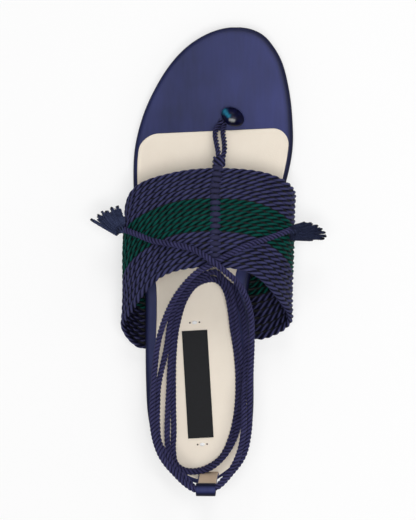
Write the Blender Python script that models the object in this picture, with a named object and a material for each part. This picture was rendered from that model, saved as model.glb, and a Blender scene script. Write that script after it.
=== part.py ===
# Toe post sandal, left shoe: flat sole, band of twisted cord, toe cord with a bead, wound ankle lace.
# Tables are in millimetres, meshes in metres. +Y points to the toe, +X to the big toe's side, +Z up.

import math

import bmesh
import bpy
from mathutils import Matrix, Vector

mm = 0.001
gap = 0.3  # clearance kept between pieces that meet

# sole, mm
sole_length = 245.5
toe_along = 123.4  # the toe tip's place along Y
footbed_thick = 6.0
footbed_round = 2.0  # radius of the footbed's top edge
outsole_inset = 0.8  # the outsole stands this far inside the footbed's edge
outsole_bevel = 0.8
seat_height = 2.4  # slot under the footbed's edge that takes the band's ends
seat_depth = 8.5
seat_groove = 0.4  # depth of the same slot away from the band
seat_past = 3.0  # it stays deep this far past the band
seat_run_out = 6.0  # and gets shallow over this length
sole_steps = 40
tip_trim = 0.1  # the outline starts and ends this far inside its tips, where its two sides meet

# station behind the toe tip, lateral edge, medial edge
sole_rows = (
    (0.0, 15.5, 15.5),
    (0.9, 7.8, 23.1),
    (3.9, -0.6, 29.8),
    (9.9, -10.2, 35.5),
    (17.9, -18.3, 40.1),
    (29.9, -26.5, 43.5),
    (47.9, -34.9, 45.9),
    (65.9, -39.2, 46.0),
    (83.9, -39.8, 42.3),
    (101.9, -38.6, 36.0),
    (117.9, -36.5, 28.5),
    (139.9, -33.5, 22.5),
    (165.0, -33.1, 24.6),
    (189.9, -32.8, 25.2),
    (207.9, -31.8, 24.9),
    (223.9, -28.0, 22.6),
    (233.9, -22.5, 17.0),
    (240.9, -14.5, 9.0),
    (244.7, -7.0, 1.8),
    (245.5, -2.5, -2.5),
)

# station, height of the outsole's underside, height of its top
side_rows = (
    (0.0, 4.5, 8.3),
    (25.0, 2.0, 6.0),
    (52.0, 0.0, 4.2),
    (100.0, 0.0, 4.2),
    (118.0, 1.2, 5.4),
    (140.0, 2.8, 7.0),
    (165.0, 3.2, 7.7),
    (174.0, 3.0, 8.0),
    (178.0, 0.0, 8.0),
    (245.5, 0.0, 8.2),
)

# sock lining: station, navy rim left bare beside it
rim_rows = (
    (50.0, 2.2),
    (85.0, 2.4),
    (135.0, 5.5),
    (175.0, 5.5),
    (205.0, 3.2),
    (245.5, 2.6),
)
sock_front = 55.8  # station of its front edge on the centre line
sock_corner = 9.0  # radius of its front corners
sock_slant = 0.043  # its front edge runs ahead on the medial side
slant_fade = 30.0  # the slant is gone this far behind the front edge
sock_thick = 0.9
sock_bevel = 0.3
sock_steps = 32
sock_trim = 0.4  # its outline ends this far inside the heel's tip

label_size = (13.7, 57.8, 0.5)
label_place = (-4.7, -68.2)
label_turn = 3.4  # degrees

# cord band, mm
rope_count = 18
rope_radius = 1.5
rope_valley = 0.75  # half thickness of the wall between two ropes
rope_profile = (0.0, 0.27, 0.73)  # a valley, then the two edges of the rope's round, in rope widths
band_edge = 0.5  # half thickness along its free edges
tuck_half = 0.85  # half thickness of its flattened ends in the seat
colour_ropes = 6  # ropes in each of the three colour stripes
rib_width = 5.8
rib_height = 1.3
rib_pitch = 4.2
rib_beside = -2.0  # how far from the crest, toward the lateral side
rib_end = 0.9  # share of the band's depth where the rib ends, under the tied lace
rib_wave = 0.25  # share of the rib's height that its bumps take
rib_profile = (-0.5, -0.34, 0.34, 0.5)  # its foot and top edges in widths from its middle
band_steps = 21
rib_clear = 3.0  # no even step this near the rib
# place, point on the front edge, point on the back edge, bow between them outward and ahead
band_rows = (
    ("lateral slope low", (-42.6, 25.0, 19.0), (-44.5, -38.6, 20.0), 1.5, 0.0),
    ("lateral shoulder", (-38.6, 35.4, 29.0), (-37.6, -27.2, 34.5), -3.9, 0.0),
    ("lateral slope", (-18.3, 44.4, 37.0), (-19.4, -8.7, 51.0), 0.0, 1.6),
    ("crest", (8.2, 47.0, 39.5), (8.9, -4.8, 56.5), 0.0, 1.2),
    ("medial slope", (28.7, 45.4, 37.5), (25.2, -8.2, 53.0), 0.0, 1.2),
    ("medial shoulder", (43.4, 39.6, 30.5), (38.6, -21.7, 39.5), 2.8, 0.0),
    ("medial slope low", (46.4, 33.6, 19.0), (45.0, -34.5, 21.0), -1.4, 0.0),
)
# where the band meets the sole: side, front end along, back end along
tuck_rows = {"lateral": (14.0, -50.0), "medial": (26.0, -45.0)}
tuck_depth = 7.0  # how far the ends go in under the footbed
tuck_clear = 1.6  # how far out the ropes turn down beside the sole
tuck_lead = 0.1  # their flattened stretch reaches this far past the footbed's edge

# toe cord and bead, mm
strand_radius = 1.3
strand_spacing = 4.0
strand_routes = {
    "lateral": (
        (7.2, 71.4, 12.2), (5.0, 66.5, 19.0), (4.9, 61.0, 26.0), (5.9, 55.5, 32.0), (6.9, 50.5, 36.6),
    ),
    "medial": (
        (10.6, 70.8, 12.2), (9.8, 66.5, 19.0), (10.6, 61.0, 26.0), (9.7, 55.5, 32.0), (8.2, 50.5, 36.6),
    ),
}
knot_size = (6.2, 5.2, 5.0)
knot_place = (7.5, 50.5, 36.9)
bead_size = (13.0, 9.4, 8.6)
bead_place = (14.0, 75.2)
bead_turn = -30.0  # degrees

# heel stay, mm: the strip leans back and is folded into a loop at its top
stay_width = 10.6
stay_thick = 1.6
stay_place = 1.2
stay_foot = -115.2  # its inner face along Y at the footbed
stay_lean = 5.15
stay_top = 45.2
loop_hole = (4.7, 6.8)
loop_wall = 1.0
loop_round = 2.2  # its outer corners
hole_round = 1.2
stay_fold = 1.0  # the strip widens into the loop this far below it

# ankle lace, mm: four turns round the ankle, tied once over the band's back edge
lace_radius = 1.5
lace_spacing = 9.0
lace_route = (
    (-42.5, 14.7, 35.7), (-36.0, 12.5, 41.3), (-27.0, 9.0, 46.8), (-18.1, 7.4, 51.3), (-9.0, 5.7, 55.2),
    (0.0, 1.9, 60.0), (6.9, -3.0, 62.9), (12.2, -7.4, 60.4), (16.8, -11.8, 56.4), (20.9, -17.8, 52.0),
    (23.4, -24.0, 48.6), (24.9, -33.0, 45.2), (25.0, -43.0, 42.4), (24.5, -57.0, 39.8), (24.0, -74.0, 39.6),
    (23.8, -90.0, 42.4), (21.0, -104.0, 45.0), (14.8, -113.6, 47.0), (7.8, -120.3, 47.9),
    (1.2, -121.4, 48.0), (-4.6, -120.6, 48.0), (-8.6, -116.4, 47.8), (-13.4, -112.6, 46.8),
    (-18.6, -105.4, 44.6), (-23.6, -97.5, 41.4), (-25.4, -89.0, 38.2), (-25.4, -79.0, 34.8),
    (-24.7, -68.0, 31.5), (-22.2, -55.0, 27.8), (-20.6, -47.0, 25.8), (-19.4, -37.5, 24.5),
    (-17.6, -29.6, 24.3), (-13.4, -21.6, 24.2), (-3.8, -11.2, 24.1), (2.0, -8.1, 24.2), (5.4, -8.0, 24.2),
    (9.2, -11.4, 24.2),
    (13.4, -15.8, 24.2), (15.0, -22.0, 24.0), (16.3, -31.0, 23.0), (17.5, -43.0, 21.7), (19.6, -60.0, 20.9),
    (19.6, -78.0, 20.8), (17.8, -90.0, 20.8), (13.9, -100.8, 20.8), (7.2, -108.8, 20.9),
    (0.6, -113.0, 20.9), (-6.0, -114.4, 20.9), (-13.0, -113.6, 20.9), (-18.4, -109.6, 20.9),
    (-20.4, -102.4, 20.9), (-21.6, -92.0, 20.9), (-20.6, -72.0, 20.9), (-18.9, -54.0, 20.9),
    (-17.4, -38.0, 20.8), (-13.0, -24.6, 20.6), (-7.0, -15.8, 20.5), (0.6, -11.8, 20.5), (7.0, -13.6, 20.5),
    (10.4, -17.6, 20.5), (12.4, -25.0, 20.2), (14.2, -39.0, 18.9), (16.3, -53.0, 17.7), (17.1, -70.0, 17.6),
    (16.0, -86.0, 17.6), (12.9, -98.8, 17.6), (8.0, -107.4, 17.7), (1.4, -112.4, 17.7),
    (-6.0, -114.2, 17.7), (-12.2, -113.4, 17.7), (-16.2, -110.0, 17.7), (-17.8, -103.0, 17.7),
    (-17.5, -94.0, 17.6), (-17.8, -76.0, 17.6), (-17.5, -52.0, 17.5), (-15.8, -37.0, 17.2),
    (-11.4, -22.4, 17.0), (-5.4, -15.0, 16.9), (1.8, -12.3, 16.9), (9.0, -13.2, 16.9), (14.2, -16.2, 17.0),
    (18.0, -21.6, 17.3), (20.2, -29.0, 17.8), (21.6, -39.0, 19.4), (22.4, -51.0, 25.0), (21.4, -64.0, 31.6),
    (20.6, -74.0, 38.0), (20.9, -80.0, 42.4), (21.1, -90.0, 46.6), (19.6, -100.0, 49.6),
    (16.4, -108.2, 51.0), (12.2, -114.6, 51.2), (7.6, -120.4, 51.2), (1.2, -121.4, 51.2),
    (-4.8, -121.2, 51.2), (-10.2, -118.2, 51.5), (-15.6, -112.6, 51.8), (-19.4, -106.6, 51.4),
    (-22.8, -100.6, 50.4), (-26.4, -88.6, 46.0), (-27.0, -67.0, 40.8), (-23.0, -41.0, 42.4),
    (-14.8, -20.8, 50.0), (-3.0, -7.4, 57.6), (4.4, -3.5, 59.4), (11.2, 0.4, 58.6), (23.7, 7.0, 54.0),
    (33.1, 9.9, 48.8), (39.9, 12.4, 44.2), (45.0, 14.4, 39.6),
)

# tassels: root at the lace's end, tip, width of the fan, its thickness, number of locks
tassel_rows = {
    "tassel_lateral": ((-44.2, 15.2, 34.7), (-58.0, 23.4, 25.6), 15.5, 7.0, 7),
    "tassel_medial": ((46.6, 14.5, 38.6), (63.6, 13.0, 29.0), 10.5, 6.5, 6),
}
# share of the tassel's length, share of its full width
tassel_flare = (
    (0.0, 0.26), (0.1, 0.36), (0.22, 0.34), (0.45, 0.62), (0.7, 0.9), (0.88, 1.0), (1.0, 0.92),
)
tassel_neck = 0.15  # share of its length that is bound round
tassel_flat = 0.55  # share of its thickness that it keeps however narrow it is
tassel_hollow = 0.72  # share of its length where the hollow between its locks' ends begins
lock_depth = 0.16  # how far the grooves between locks go in
lock_jag = 0.22  # how far the locks' ends differ
lock_start = 0.7  # share of the length past which they differ
lock_turn = 2.4  # angle from one lock's length to the next in their uneven order

navy_leather = ("navy_leather", (58, 60, 98), 0.42)
navy_cord = ("navy_cord", (45, 43, 82), 0.55)
green_cord = ("green_cord", (10, 66, 54), 0.55)
cream_leather = ("cream_leather", (229, 220, 205), 0.5)
black_patch = ("black_patch", (30, 32, 35), 0.6)
bead_gloss = ("bead_gloss", (20, 24, 52), 0.12)
sole_leather = ("sole_leather", (40, 38, 52), 0.6)
tassel_cotton = ("tassel_cotton", (36, 42, 68), 0.8)


class Curve:
    # cubic through knots; a level one never passes above or below its own rows
    def __init__(self, knots, values, level=False):
        self.knots = list(knots)
        self.values = list(values)
        steps = [b - a for a, b in zip(self.knots, self.knots[1:])]
        rises = [(b - a) / step for a, b, step in zip(self.values, self.values[1:], steps)]
        self.slopes = [rises[0]]
        for i in range(1, len(rises)):
            before, after = rises[i - 1], rises[i]
            if level:
                slope = 0.0 if before * after <= 0 else 2 * before * after / (before + after)
            else:
                slope = (before * steps[i] + after * steps[i - 1]) / (steps[i] + steps[i - 1])
            self.slopes.append(slope)
        self.slopes.append(rises[-1])

    def at(self, place):
        i = 0
        while i < len(self.knots) - 2 and place > self.knots[i + 1]:
            i += 1
        step = self.knots[i + 1] - self.knots[i]
        part = min(max((place - self.knots[i]) / step, 0.0), 1.0)
        square, cube = part * part, part ** 3
        return ((2 * cube - 3 * square + 1) * self.values[i]
                + (cube - 2 * square + part) * step * self.slopes[i]
                + (3 * square - 2 * cube) * self.values[i + 1]
                + (cube - square) * step * self.slopes[i + 1])


def linear(value):
    value = value / 255
    return value / 12.92 if value <= 0.04045 else ((value + 0.055) / 1.055) ** 2.4


def material(finish):
    name, colour, roughness = finish
    made = bpy.data.materials.get(name)
    if made is None:
        made = bpy.data.materials.new(name)
        made.use_nodes = True
        shader = made.node_tree.nodes["Principled BSDF"]
        shader.inputs["Base Color"].default_value = [linear(part) for part in colour] + [1.0]
        shader.inputs["Roughness"].default_value = roughness
        shader.inputs["Metallic"].default_value = 0.0
    return made


def place_in(collection, name, data, *finishes):
    made = bpy.data.objects.new(name, data)
    for finish in finishes:
        data.materials.append(material(finish))
    collection.objects.link(made)
    return made


def mesh_of(name, form):
    bmesh.ops.recalc_face_normals(form, faces=form.faces)
    data = bpy.data.meshes.new(name)
    form.to_mesh(data)
    form.free()
    return data


def turn_at(station):
    # ends of the outline are round, so its tables run on an angle instead of a length
    return math.acos(1 - 2 * min(max(station / sole_length, 0.0), 1.0))


lateral_edge = Curve([turn_at(row[0]) for row in sole_rows], [row[1] for row in sole_rows])
medial_edge = Curve([turn_at(row[0]) for row in sole_rows], [row[2] for row in sole_rows])
underside = Curve([row[0] for row in side_rows], [row[1] for row in side_rows], level=True)
outsole_top = Curve([row[0] for row in side_rows], [row[2] for row in side_rows], level=True)
rim = Curve([row[0] for row in rim_rows], [row[1] for row in rim_rows], level=True)


def station_of(along):
    return toe_along - along


def edge_at(side, along):
    edge = lateral_edge if side == "lateral" else medial_edge
    return edge.at(turn_at(station_of(along)))


def footbed_base(along):
    return outsole_top.at(station_of(along)) + gap


def footbed_top(along):
    return footbed_base(along) + footbed_thick


def sock_top(along):
    return footbed_top(along) + gap + sock_thick


def outline(stations, inset):
    # lateral edge from toe to heel, then medial edge back, each point moved inward by inset(station)
    lateral = [Vector((lateral_edge.at(turn_at(s)), toe_along - s)) for s in stations]
    medial = [Vector((medial_edge.at(turn_at(s)), toe_along - s)) for s in stations]
    ring = lateral + medial[::-1]
    depths = [inset(s) for s in list(stations) + list(stations)[::-1]]
    moved = []
    for i, point in enumerate(ring):
        along = ring[(i + 1) % len(ring)] - ring[i - 1]
        moved.append(point + Vector((-along.y, along.x)).normalized() * depths[i])
    return moved


def lift(ring, height):
    # height is a function of the place along the shoe
    return [Vector((point.x, point.y, height(point.y))) for point in ring]


def ladder_solid(name, rings):
    # rings lie one over another; each end is closed by rungs between its two long sides
    form = bmesh.new()
    levels = [[form.verts.new(point * mm) for point in ring] for ring in rings]
    count = len(rings[0])
    for low, high in zip(levels, levels[1:]):
        for i in range(count):
            j = (i + 1) % count
            form.faces.new((low[i], low[j], high[j], high[i]))
    for ring in (levels[0], levels[-1]):
        for i in range(count // 2 - 1):
            form.faces.new((ring[i], ring[i + 1], ring[count - 2 - i], ring[count - 1 - i]))
    return mesh_of(name, form)


def sole_stations(first=tip_trim, last=sole_length - tip_trim, steps=sole_steps):
    start, stop = turn_at(first), turn_at(last)
    turns = [start + (stop - start) * i / steps for i in range(steps + 1)]
    return [(1 - math.cos(turn)) / 2 * sole_length for turn in turns]


def outsole_mesh():
    stations = sole_stations()
    inner = outline(stations, lambda s: outsole_inset + outsole_bevel)
    outer = outline(stations, lambda s: outsole_inset)

    def under(along):
        return underside.at(station_of(along))

    def top(along):
        return outsole_top.at(station_of(along))

    return ladder_solid("outsole", (
        lift(inner, under),
        lift(outer, lambda along: under(along) + outsole_bevel),
        lift(outer, top),
    ))


def seat_inset(station):
    # deep along the band, a shallow groove elsewhere
    along = toe_along - station
    front = max(row[0] for row in tuck_rows.values())
    back = min(row[1] for row in tuck_rows.values())
    past = max(along - front - seat_past, back - seat_past - along, 0.0)
    share = 1 - min(past / seat_run_out, 1.0)
    return seat_groove + (seat_depth - seat_groove) * share * share * (3 - 2 * share)


def footbed_mesh():
    stations = sole_stations()
    side = outline(stations, lambda s: 0.0)
    seat = outline(stations, seat_inset)
    seat_roof = lambda along: footbed_base(along) + seat_height
    rings = [lift(seat, footbed_base), lift(seat, seat_roof), lift(side, seat_roof)]
    for degrees in (0, 30, 60, 90):
        turn = math.radians(degrees)
        inset = footbed_round * (1 - math.cos(turn))
        drop = footbed_round * (1 - math.sin(turn))
        ring = outline(stations, lambda s: inset)
        rings.append(lift(ring, lambda along: footbed_top(along) - drop))
    return ladder_solid("footbed", rings)


def sock_outline(inset):
    rounds = [sock_front + sock_corner * (1 - math.cos(math.radians(turn))) for turn in range(0, 90, 15)]
    stations = rounds + sole_stations(sock_front + sock_corner, sole_length - sock_trim, sock_steps)
    ring = outline(stations, lambda s: rim.at(s) + inset)
    shaped = []
    for i, point in enumerate(ring):
        station = stations[min(i, len(ring) - 1 - i)]
        back = max(station - sock_front, 0.0)
        corner = max(sock_corner - back, 0.0)
        pull = sock_corner - math.sqrt(sock_corner ** 2 - corner ** 2)
        across = point.x + (pull if i < len(ring) // 2 else -pull)
        fade = max(1 - back / slant_fade, 0.0)
        front = sock_front + inset - station if station < sock_front + inset else 0.0
        shaped.append(Vector((across, toe_along - station - front + sock_slant * across * fade)))
    return shaped


def sock_mesh():
    base = lambda along: footbed_top(along) + gap
    return ladder_solid("sock_lining", (
        lift(sock_outline(0.0), base),
        lift(sock_outline(0.0), lambda along: base(along) + sock_thick - sock_bevel),
        lift(sock_outline(sock_bevel), sock_top),
    ))


def label_mesh():
    width, length, thick = label_size
    rungs = 9
    turn = Matrix.Rotation(math.radians(label_turn), 2)
    left = [Vector((-width / 2, length / 2 - length * i / (rungs - 1))) for i in range(rungs)]
    right = [Vector((-point.x, point.y)) for point in left[::-1]]
    ring = [turn @ point + Vector(label_place) for point in left + right]
    return ladder_solid("label_patch", (
        lift(ring, lambda along: sock_top(along) + gap),
        lift(ring, lambda along: sock_top(along) + gap + thick),
    ))


def arch_points(across):
    # control points of one rope's path from the lateral to the medial side; across is 0 in front, 1 behind
    mid = 4 * across * (1 - across)

    def tuck(side, inward):
        front, back = tuck_rows[side]
        along = front + (back - front) * across
        outward = -1 if side == "lateral" else 1
        edge = edge_at(side, along)
        return Vector((edge - outward * inward, along, footbed_base(along) + seat_height / 2))

    points = [tuck("lateral", tuck_depth), tuck("lateral", -tuck_clear)]
    for name, front, back, bow_out, bow_ahead in band_rows:
        point = Vector(front).lerp(Vector(back), across)
        points.append(point + Vector((bow_out * mid, bow_ahead * mid, 0)))
    points += [tuck("medial", -tuck_clear), tuck("medial", tuck_depth)]
    return points


middle_arch = arch_points(0.5)
band_knots = [0.0]
for before, after in zip(middle_arch, middle_arch[1:]):
    band_knots.append(band_knots[-1] + (after - before).length)
rib_middle = band_knots[5] + rib_beside


def arch(across):
    points = arch_points(across)
    curves = [Curve(band_knots, [point[axis] for point in points]) for axis in range(3)]
    return lambda run: Vector([curve.at(run) for curve in curves])


def band_runs():
    # sections along the ropes: even steps, with the steps of the middle rib between them
    total = band_knots[-1]
    even = [total * i / band_steps for i in range(band_steps + 1)]
    runs = [run for run in even if abs(run - rib_middle) > rib_width / 2 + rib_clear]
    for step in rib_profile:
        runs.append(rib_middle + rib_width * step)
    return sorted(runs + [tuck_depth + tuck_lead, total - tuck_depth - tuck_lead])


def wall_half(across, run, outward):
    # half thickness of the wall: ridged by the ropes, flat in the seat, with a bumpy rib in the middle
    place = across * rope_count
    part = place - math.floor(place + 1e-6)
    half = rope_radius if rope_profile[1] <= part <= rope_profile[2] else rope_valley
    if across < 1e-6 or across > 1 - 1e-6:
        half = band_edge
    total = band_knots[-1]
    seat_run = tuck_depth + 2 * tuck_lead
    if run < seat_run or run > total - seat_run:
        return min(half, tuck_half)
    on_rib = abs(run - rib_middle) < rib_width * (rib_profile[2] + rib_profile[3]) / 2
    if outward and on_rib and 1e-6 < across < rib_end:
        length = (arch_points(1)[5] - arch_points(0)[5]).length
        wave = math.cos(2 * math.pi * across * length / rib_pitch)
        half = rope_radius + rib_height * (1 - rib_wave + rib_wave * wave)
    return half


def band_mesh():
    acrosses = [(rope + share) / rope_count for rope in range(rope_count) for share in rope_profile] + [1.0]
    step = 0.01
    arches = [arch(across) for across in acrosses]
    beside = [(arch(max(a - step, 0.0)), arch(min(a + step, 1.0))) for a in acrosses]
    form = bmesh.new()
    loops = []
    for run in band_runs():
        outer, inner = [], []
        for across, path, (front, back) in zip(acrosses, arches, beside):
            point = path(run)
            along = path(run + 0.2) - path(run - 0.2)
            normal = along.cross(front(run) - back(run)).normalized()
            outer.append(form.verts.new((point + normal * wall_half(across, run, True)) * mm))
            inner.append(form.verts.new((point - normal * wall_half(across, run, False)) * mm))
        loops.append(outer + inner[::-1])
    count = len(loops[0])
    for loop, after in zip(loops, loops[1:]):
        for i in range(count):
            j = (i + 1) % count
            face = form.faces.new((loop[i], loop[j], after[j], after[i]))
            place = i if i < count // 2 else count - 2 - i
            stripe = max(min(place // len(rope_profile), rope_count - 1), 0) // colour_ropes
            face.material_index = 1 if stripe == 1 else 0
    for loop in (loops[0], loops[-1]):
        for i in range(count // 2 - 1):
            form.faces.new((loop[i], loop[i + 1], loop[count - 2 - i], loop[count - 1 - i]))
    return mesh_of("cord_band", form)


def tube_curve(name, points, radius, sides=2):
    data = bpy.data.curves.new(name, "CURVE")
    data.dimensions = "3D"
    data.bevel_depth = radius * mm
    data.bevel_resolution = sides
    data.use_fill_caps = True
    spline = data.splines.new("POLY")
    spline.points.add(len(points) - 1)
    for made, point in zip(spline.points, points):
        made.co = (*(Vector(point) * mm), 1.0)
    return data


def route_curve(route, spacing):
    # points on a smooth curve through the route, about this far apart
    points = [Vector(point) for point in route]
    knots = [0.0]
    for before, after in zip(points, points[1:]):
        knots.append(knots[-1] + (after - before).length ** 0.5)
    curves = [Curve(knots, [point[axis] for point in points]) for axis in range(3)]
    made = []
    for start, stop in zip(knots, knots[1:]):
        between = max(round((stop - start) ** 2 / spacing), 1)
        for i in range(between):
            made.append(Vector([curve.at(start + (stop - start) * i / between) for curve in curves]))
    return made + [points[-1]]


def solid_tube(name, collection, points, radius):
    # a curve's tube as a closed mesh, so that it can be joined to others
    source = place_in(collection, name + "_line", tube_curve(name + "_line", points, radius))
    seen = source.evaluated_get(bpy.context.evaluated_depsgraph_get())
    data = bpy.data.meshes.new_from_object(seen)
    bpy.data.objects.remove(source)
    form = bmesh.new()
    form.from_mesh(data)
    bmesh.ops.remove_doubles(form, verts=form.verts, dist=1e-6)
    bmesh.ops.recalc_face_normals(form, faces=form.faces)
    form.to_mesh(data)
    form.free()
    return place_in(collection, name, data, navy_cord)


def ball(name, size, segments, rings, place, turn=0.0):
    form = bmesh.new()
    bmesh.ops.create_uvsphere(form, u_segments=segments, v_segments=rings, radius=0.5)
    bmesh.ops.scale(form, vec=Vector(size) * mm, verts=form.verts)
    bmesh.ops.rotate(form, matrix=Matrix.Rotation(math.radians(turn), 3, "Z"), verts=form.verts)
    bmesh.ops.translate(form, vec=Vector(place) * mm, verts=form.verts)
    return mesh_of(name, form)


def join(piece, others):
    for other in others:
        modifier = piece.modifiers.new("join", "BOOLEAN")
        modifier.operation = "UNION"
        modifier.solver = "EXACT"
        modifier.object = other
        other.hide_render = True


def toe_cord(parts, helpers):
    knot = place_in(parts, "toe_cord", ball("toe_cord", knot_size, 14, 8, knot_place), navy_cord)
    strands = []
    for side, route in strand_routes.items():
        points = route_curve(route, strand_spacing)
        strands.append(solid_tube("toe_strand_" + side, helpers, points, strand_radius))
    join(knot, strands)
    return knot


def toe_bead(parts):
    across, along = bead_place
    height = footbed_top(along) + gap + bead_size[2] / 2
    data = ball("toe_bead", bead_size, 16, 10, (across, along, height), bead_turn)
    return place_in(parts, "toe_bead", data, bead_gloss)


def heel_stay(parts):
    # side view drawn flat: the strip and its loop, with the loop's hole
    foot = sock_top(stay_foot) + gap
    hole_wide, hole_tall = loop_hole
    top_in = stay_foot - stay_lean
    loop_front = top_in + hole_wide / 2 + loop_wall - stay_thick / 2
    loop_back = loop_front - hole_wide - 2 * loop_wall
    loop_top = stay_top + hole_tall + 2 * loop_wall
    outer = (
        (stay_foot, foot), (top_in, stay_top - stay_fold), (loop_front - loop_round, stay_top),
        (loop_front, stay_top + loop_round), (loop_front, loop_top - loop_round),
        (loop_front - loop_round, loop_top), (loop_back + loop_round, loop_top),
        (loop_back, loop_top - loop_round), (loop_back, stay_top + loop_round),
        (loop_back + loop_round, stay_top), (top_in - stay_thick, stay_top - stay_fold),
        (stay_foot - stay_thick, foot),
    )
    low, high = stay_top + loop_wall, loop_top - loop_wall
    front, back = loop_front - loop_wall, loop_back + loop_wall
    hole = (
        (front - hole_round, low), (front, low + hole_round),
        (front, high - hole_round), (front - hole_round, high),
        (back + hole_round, high), (back, high - hole_round),
        (back, low + hole_round), (back + hole_round, low),
    )
    data = bpy.data.curves.new("heel_stay", "CURVE")
    data.dimensions = "2D"
    data.fill_mode = "BOTH"
    data.extrude = stay_width / 2 * mm
    for ring in (outer, hole):
        spline = data.splines.new("POLY")
        spline.points.add(len(ring) - 1)
        spline.use_cyclic_u = True
        for made, (along, height) in zip(spline.points, ring):
            made.co = (along * mm, height * mm, 0.0, 1.0)
    stay = place_in(parts, "heel_stay", data, navy_leather)
    stay.rotation_euler = (math.radians(90), 0.0, math.radians(90))
    stay.location.x = stay_place * mm
    return stay


def ankle_lace(parts):
    line = tube_curve("ankle_lace", route_curve(lace_route, lace_spacing), lace_radius)
    return place_in(parts, "ankle_lace", line, navy_cord)


def tassel_mesh(name, root, tip, width, thick, locks):
    # a fan of locks fused side by side: a lobed loft with ends of unequal length
    root, tip = Vector(root), Vector(tip)
    length = (tip - root).length
    ahead = (tip - root).normalized()
    beside = (Vector((0, 1, 0)) - ahead * ahead.y).normalized()
    upward = ahead.cross(beside)
    count = 2 * locks
    form = bmesh.new()
    rings = []
    for share, flare in tassel_flare:
        ring = []
        for i in range(count):
            turn = 2 * math.pi * (i + 0.5) / count
            lobe = 1 - lock_depth * (i % 2) * flare
            jag = lock_jag * (0.5 + 0.5 * math.sin(lock_turn * i)) + lock_jag * (i % 2)
            reach = share * length * (1 - jag * max(share - lock_start, 0.0) / (1 - lock_start))
            half_wide = width / 2 * flare
            half_thick = half_wide
            if share > tassel_neck:
                half_thick = thick / 2 * (tassel_flat + (1 - tassel_flat) * flare)
            place = (ahead * reach + beside * half_wide * lobe * math.cos(turn)
                     + upward * half_thick * lobe * math.sin(turn))
            ring.append(form.verts.new((root + place) * mm))
        rings.append(ring)
    for ring, after in zip(rings, rings[1:]):
        for i in range(count):
            j = (i + 1) % count
            form.faces.new((ring[i], ring[j], after[j], after[i]))
    for ring, share in ((rings[0], 0.0), (rings[-1], tassel_hollow)):
        middle = form.verts.new((root + ahead * length * share) * mm)
        for i in range(count):
            form.faces.new((ring[i], ring[(i + 1) % count], middle))
    return mesh_of(name, form)


def clear_scene():
    for item in list(bpy.data.objects):
        bpy.data.objects.remove(item)


def centre_on_origin(parts, helpers):
    # the object's origin is the bottom middle of its box, measured without the lace and tassels
    cords = ("ankle_lace", *tassel_rows)
    bpy.context.view_layer.update()
    seen = bpy.context.evaluated_depsgraph_get()
    corners = []
    for piece in parts.objects:
        if piece.name not in cords:
            form = piece.evaluated_get(seen).to_mesh()
            corners += [piece.matrix_world @ vertex.co for vertex in form.vertices]
    low = [min(corner[axis] for corner in corners) for axis in range(3)]
    high = [max(corner[axis] for corner in corners) for axis in range(3)]
    root = bpy.data.objects.new("sandal_root", None)
    parts.objects.link(root)
    for piece in (*parts.objects, *helpers.objects):
        if piece is not root:
            piece.parent = root
    root.location = (-(low[0] + high[0]) / 2, -(low[1] + high[1]) / 2, -low[2])


def main():
    clear_scene()
    parts = bpy.data.collections.new("toe_post_sandal")
    helpers = bpy.data.collections.new("helpers")
    for collection in (parts, helpers):
        bpy.context.scene.collection.children.link(collection)
    place_in(parts, "outsole", outsole_mesh(), sole_leather)
    place_in(parts, "footbed", footbed_mesh(), navy_leather)
    place_in(parts, "sock_lining", sock_mesh(), cream_leather)
    place_in(parts, "label_patch", label_mesh(), black_patch)
    place_in(parts, "cord_band", band_mesh(), navy_cord, green_cord)
    toe_cord(parts, helpers)
    toe_bead(parts)
    heel_stay(parts)
    ankle_lace(parts)
    for name, row in tassel_rows.items():
        place_in(parts, name, tassel_mesh(name, *row), tassel_cotton)
    centre_on_origin(parts, helpers)


main()
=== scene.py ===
# Looks of the toe post sandal: band of twisted cords, satin leather footbed, cream sock, wound lace.
# Drawing sizes are millimetres on the shoe's own axes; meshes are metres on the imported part's axes.

import math
import random

import bmesh
import bpy
from mathutils import Matrix, Vector


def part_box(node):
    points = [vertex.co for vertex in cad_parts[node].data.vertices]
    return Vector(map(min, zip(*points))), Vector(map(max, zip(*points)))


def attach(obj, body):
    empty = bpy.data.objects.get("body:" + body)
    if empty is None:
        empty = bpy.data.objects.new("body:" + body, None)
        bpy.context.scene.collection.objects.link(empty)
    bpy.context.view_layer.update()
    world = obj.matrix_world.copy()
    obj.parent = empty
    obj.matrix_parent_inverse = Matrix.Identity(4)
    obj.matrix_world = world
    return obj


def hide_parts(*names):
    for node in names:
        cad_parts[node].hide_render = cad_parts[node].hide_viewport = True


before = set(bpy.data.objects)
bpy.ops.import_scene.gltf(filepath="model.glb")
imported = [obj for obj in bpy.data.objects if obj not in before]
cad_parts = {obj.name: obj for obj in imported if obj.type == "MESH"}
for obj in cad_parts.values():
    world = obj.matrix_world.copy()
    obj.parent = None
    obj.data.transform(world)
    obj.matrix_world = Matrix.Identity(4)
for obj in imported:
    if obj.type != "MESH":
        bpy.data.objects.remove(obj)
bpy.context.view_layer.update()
print("frame loaded:", len(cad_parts), "nodes")

mm = 0.001
fullTurn = 2 * math.pi
labelPlace = Vector((-4.7, -68.2, 0.0))  # the label's middle on the drawing
labelLow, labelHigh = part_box("label_patch")
drawingShift = (labelLow + labelHigh) / (2 * mm) - labelPlace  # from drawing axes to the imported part's
drawingShift.z = 0.0


def placed(point):  # drawing millimetres to metres
    return (Vector(point) + drawingShift) * mm


def held(value):  # kept between 0 and 1
    return min(max(value, 0.0), 1.0)


# sockets with arithmetic

def feed(tree, socket, value):
    if isinstance(value, Wire):
        tree.links.new(value.socket, socket)
    else:
        socket.default_value = value


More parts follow.
